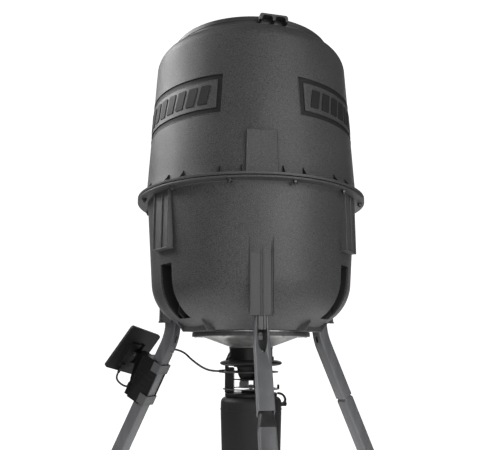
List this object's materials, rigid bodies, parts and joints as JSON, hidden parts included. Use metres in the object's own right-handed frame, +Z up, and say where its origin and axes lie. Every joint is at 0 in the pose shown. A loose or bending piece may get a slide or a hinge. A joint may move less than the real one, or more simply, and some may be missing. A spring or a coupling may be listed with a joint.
{
  "type": "spin cast feeder",
  "caption": "Barrel-shaped game feeder on three splayed tube legs, with a lid, a funnel, a spinner, a canister with timer and battery, and a small solar panel on one leg.",
  "frame": {"origin": "on the ground, in the middle of the box round the feeder without its cables", "axes": "+Z up, -Y towards the front leg, +X to the right when facing the feeder's front"},
  "size_m": [1.3314, 1.1622, 1.7155],
  "materials": {
    "barrel_plastic": "pebbled dark grey moulding",
    "leg_paint": "satin dark grey powder coat",
    "kit_plastic": "satin black moulding",
    "canister_plastic": "satin charcoal moulding",
    "galvanised_steel": "galvanised sheet",
    "zinc_steel": "bright zinc",
    "rubber": "matt black",
    "battery_case": "satin",
    "solar_cell": "glazed dark blue",
    "strap_plastic": "satin grey",
    "cable_jacket": "satin black"
  },
  "bodies": {
    "stand": {"base_plate": "barrel_plastic", "battery": "battery_case", "cable_gland": "kit_plastic", "canister": "canister_plastic", "door_pin": "zinc_steel", "flange_bolt_01": "zinc_steel", "flange_bolt_02": "zinc_steel", "flange_bolt_03": "zinc_steel", "flange_bolt_04": "zinc_steel", "flange_bolt_05": "zinc_steel", "flange_bolt_06": "zinc_steel", "flange_bolt_07": "zinc_steel", "flange_bolt_08": "zinc_steel", "flange_bolt_09": "zinc_steel", "flange_bolt_10": "zinc_steel", "flange_bolt_11": "zinc_steel", "flange_bolt_12": "zinc_steel", "flange_gasket": "rubber", "foot_front": "rubber", "foot_left": "rubber", "foot_right": "rubber", "funnel": "galvanised_steel", "kit_chute": "kit_plastic", "kit_collar": "kit_plastic", "kit_frame": "kit_plastic", "leg_clamp": "kit_plastic", "leg_screw_front": "zinc_steel", "leg_screw_left": "zinc_steel", "leg_screw_right": "zinc_steel", "lower_hopper": "barrel_plastic", "lower_leg_front": "leg_paint", "lower_leg_left": "leg_paint", "lower_leg_right": "leg_paint", "main_cable": "cable_jacket", "middle_leg_front": "leg_paint", "middle_leg_left": "leg_paint", "middle_leg_right": "leg_paint", "motor": "zinc_steel", "strap_lower": "strap_plastic", "strap_upper": "strap_plastic", "timer_module": "kit_plastic", "upper_hopper": "barrel_plastic", "upper_leg_front": "leg_paint", "upper_leg_left": "leg_paint", "upper_leg_right": "leg_paint"},
    "lid_seat": {"lid_gasket": "rubber"},
    "lid": {"lid": "barrel_plastic", "lid_grip": "barrel_plastic"},
    "spinner": {"spinner_plate": "galvanised_steel", "motor_shaft": "zinc_steel"},
    "door": {"canister_door": "canister_plastic"},
    "latch": {"canister_latch": "kit_plastic"},
    "arm": {"panel_arm": "kit_plastic", "tilt_screw": "zinc_steel", "panel_lead": "cable_jacket"},
    "panel": {"solar_tray": "kit_plastic", "solar_cell": "solar_cell"},
    "button_1": {"timer_button_1": "rubber"},
    "button_2": {"timer_button_2": "rubber"},
    "button_3": {"timer_button_3": "rubber"}
  },
  "joints": [
    {"name": "lid_lift", "type": "slide", "parent": "stand", "child": "lid_seat", "axis": [0, 0, 1], "range_m": [0, 0.25]},
    {"name": "lid_turn", "type": "hinge", "parent": "lid_seat", "child": "lid", "pos_m": [0, 0.18236, 1.704], "axis": [0, 0, 1], "range_deg": [0, 25]},
    {"name": "spinner_spin", "type": "hinge", "parent": "stand", "child": "spinner", "pos_m": [0, 0.18236, 0.8848], "axis": [0, 0, 1], "continuous": true},
    {"name": "door_swing", "type": "hinge", "parent": "stand", "child": "door", "pos_m": [-0.037, 0.24386, 0.7525], "axis": [0, 0, 1], "range_deg": [0, 110]},
    {"name": "latch_swing", "type": "hinge", "parent": "stand", "child": "latch", "pos_m": [0.07701, 0.17697, 0.8492], "axis": [0.0698, 0.9976, 0], "range_deg": [0, 100]},
    {"name": "panel_swivel", "type": "hinge", "parent": "stand", "child": "arm", "pos_m": [-0.26656, 0.33626, 0.93289], "axis": [0.3965, -0.2289, 0.889], "range_deg": [-30, 45]},
    {"name": "panel_tilt", "type": "hinge", "parent": "arm", "child": "panel", "pos_m": [-0.27243, 0.34767, 0.95869], "axis": [-0.7134, -0.6863, 0.1415], "range_deg": [-20, 15], "deforming": ["panel_lead"]},
    {"name": "button_1_press", "type": "slide", "parent": "stand", "child": "button_1", "axis": [0, -1, 0], "range_m": [0, 0.0015], "stiffness_N_per_m": 150, "springref_m": -0.0005},
    {"name": "button_2_press", "type": "slide", "parent": "stand", "child": "button_2", "axis": [0, -1, 0], "range_m": [0, 0.0015], "stiffness_N_per_m": 150, "springref_m": -0.0005},
    {"name": "button_3_press", "type": "slide", "parent": "stand", "child": "button_3", "axis": [0, -1, 0], "range_m": [0, 0.0015], "stiffness_N_per_m": 150, "springref_m": -0.0005}
  ]
}
